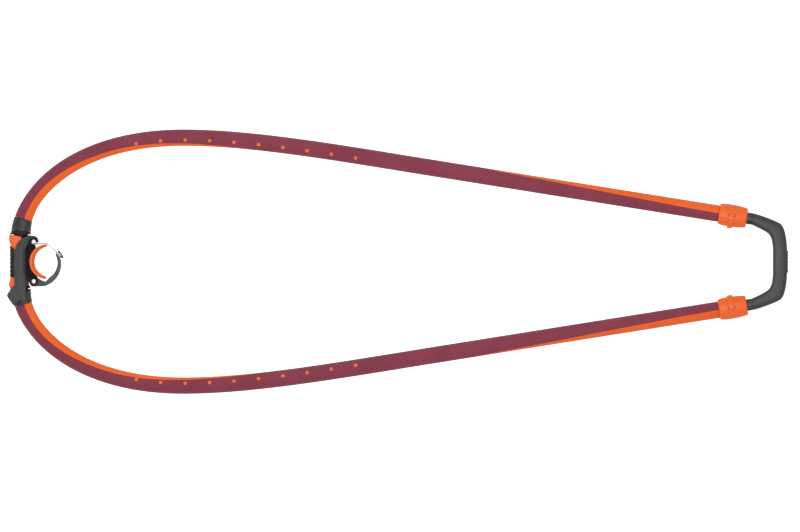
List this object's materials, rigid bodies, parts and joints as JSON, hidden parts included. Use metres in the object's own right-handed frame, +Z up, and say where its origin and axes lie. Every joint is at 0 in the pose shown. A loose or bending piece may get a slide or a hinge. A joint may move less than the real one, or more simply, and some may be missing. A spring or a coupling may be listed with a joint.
{
  "type": "windsurfing boom",
  "caption": "Wishbone boom with two curved gripped arms, a lever-and-strap mast clamp at the front and a telescoping tail end with locking collars.",
  "frame": {"origin": "on the mast axis, where the mast clamp holds a mast, at the height of the boom tubes", "axes": "+X from the mast clamp to the tail, +Y to the port arm, +Z up along the mast"},
  "size_m": [1.597, 0.541, 0.092],
  "materials": {
    "foam_grip": "matt ribbed EVA foam, maroon with an orange panel",
    "arm_tube": "black anodised",
    "tail_tube": "dark anodised",
    "orange_moulding": "satin",
    "pad_rubber": "matt",
    "black_moulding": "fine grain",
    "grey_moulding": "fine grain",
    "rubber": "matt",
    "strap": "woven webbing",
    "claw_metal": "satin grey",
    "steel": "brushed"
  },
  "bodies": {
    "boom_front": {"front_tube": "arm_tube", "sleeve_ring_port": "rubber", "sleeve_ring_starboard": "rubber", "sleeve_port": "black_moulding", "sleeve_starboard": "black_moulding", "grip_front_port": "foam_grip", "grip_front_starboard": "foam_grip"},
    "head": {"head_shell": "orange_moulding", "head_saddle": "black_moulding", "head_bush": "orange_moulding", "front_bumper": "rubber", "mast_pad": "pad_rubber", "pad_liner": "pad_rubber", "lever_pin_top": "steel", "lever_pin_bottom": "steel", "claw_pin": "steel"},
    "lever": {"lever": "grey_moulding", "strap_pin": "steel"},
    "strap": {"strap": "strap", "strap_hook": "grey_moulding"},
    "claw": {"claw": "claw_metal"},
    "arm_port": {"arm_tube_port": "arm_tube", "grip_rear_port": "foam_grip", "collar_port": "orange_moulding", "latch_hinge_pin_port": "steel", "cleat_port": "black_moulding"},
    "arm_starboard": {"arm_tube_starboard": "arm_tube", "grip_rear_starboard": "foam_grip", "collar_starboard": "orange_moulding", "latch_hinge_pin_starboard": "steel", "cleat_starboard": "black_moulding"},
    "latch_port": {"latch_port": "orange_moulding", "lock_pin_port": "steel"},
    "latch_starboard": {"latch_starboard": "orange_moulding", "lock_pin_starboard": "steel"},
    "tail": {"tail_bend": "black_moulding", "tail_leg_port": "tail_tube", "tail_leg_starboard": "tail_tube", "leg_plug_port": "black_moulding", "leg_plug_starboard": "black_moulding", "tail_rivet_inner_port": "steel", "tail_rivet_outer_port": "steel", "tail_rivet_inner_starboard": "steel", "tail_rivet_outer_starboard": "steel", "tail_bumper": "rubber", "sheave_pin_port": "steel", "sheave_pin_starboard": "steel"},
    "sheave_port": {"sheave_port": "black_moulding"},
    "sheave_starboard": {"sheave_starboard": "black_moulding"}
  },
  "joints": [
    {"name": "head_tilt", "type": "hinge", "parent": "boom_front", "child": "head", "pos_m": [-0.058, 0, 0], "axis": [0, 1, 0], "range_deg": [-12, 12]},
    {"name": "lever_swing", "type": "hinge", "parent": "head", "child": "lever", "pos_m": [-0.0318, 0.0402, 0], "axis": [0, 0, -1], "range_deg": [0, 125]},
    {"name": "strap_lift", "type": "hinge", "parent": "lever", "child": "strap", "pos_m": [-0.03786, 0.03596, 0], "axis": [0, 0, 1], "range_deg": [0, 200]},
    {"name": "claw_open", "type": "hinge", "parent": "head", "child": "claw", "pos_m": [-0.0318, -0.0402, 0], "axis": [0, 0, -1], "range_deg": [0, 30]},
    {"name": "tail_slide", "type": "slide", "parent": "boom_front", "child": "tail", "axis": [1, 0, 0], "range_m": [0, 0.5]},
    {"name": "arm_port_spread", "type": "slide", "parent": "boom_front", "child": "arm_port", "axis": [0, 1, 0], "range_m": [0, 0.08]},
    {"name": "arm_starboard_spread", "type": "slide", "parent": "boom_front", "child": "arm_starboard", "axis": [0, -1, 0], "range_m": [0, 0.08]},
    {"name": "latch_port_swing", "type": "hinge", "parent": "arm_port", "child": "latch_port", "pos_m": [1.3945, 0.09414, 0.022], "axis": [-0.9875, 0.1575, 0], "range_deg": [-7, 30]},
    {"name": "latch_starboard_swing", "type": "hinge", "parent": "arm_starboard", "child": "latch_starboard", "pos_m": [1.3945, -0.09414, 0.022], "axis": [0.9875, 0.1575, 0], "range_deg": [-7, 30]},
    {"name": "sheave_port_spin", "type": "hinge", "parent": "tail", "child": "sheave_port", "pos_m": [1.492, 0.023, 0], "axis": [0, 0, 1], "continuous": true},
    {"name": "sheave_starboard_spin", "type": "hinge", "parent": "tail", "child": "sheave_starboard", "pos_m": [1.492, -0.023, 0], "axis": [0, 0, 1], "continuous": true}
  ],
  "couplings": [
    {"joint": "strap_lift", "follows": "lever_swing", "ratio": 1.6},
    {"joint": "claw_open", "follows": "lever_swing", "ratio": 0.22},
    {"joint": "arm_port_spread", "follows": "tail_slide", "ratio": 0.1595},
    {"joint": "arm_starboard_spread", "follows": "tail_slide", "ratio": 0.1595}
  ]
}
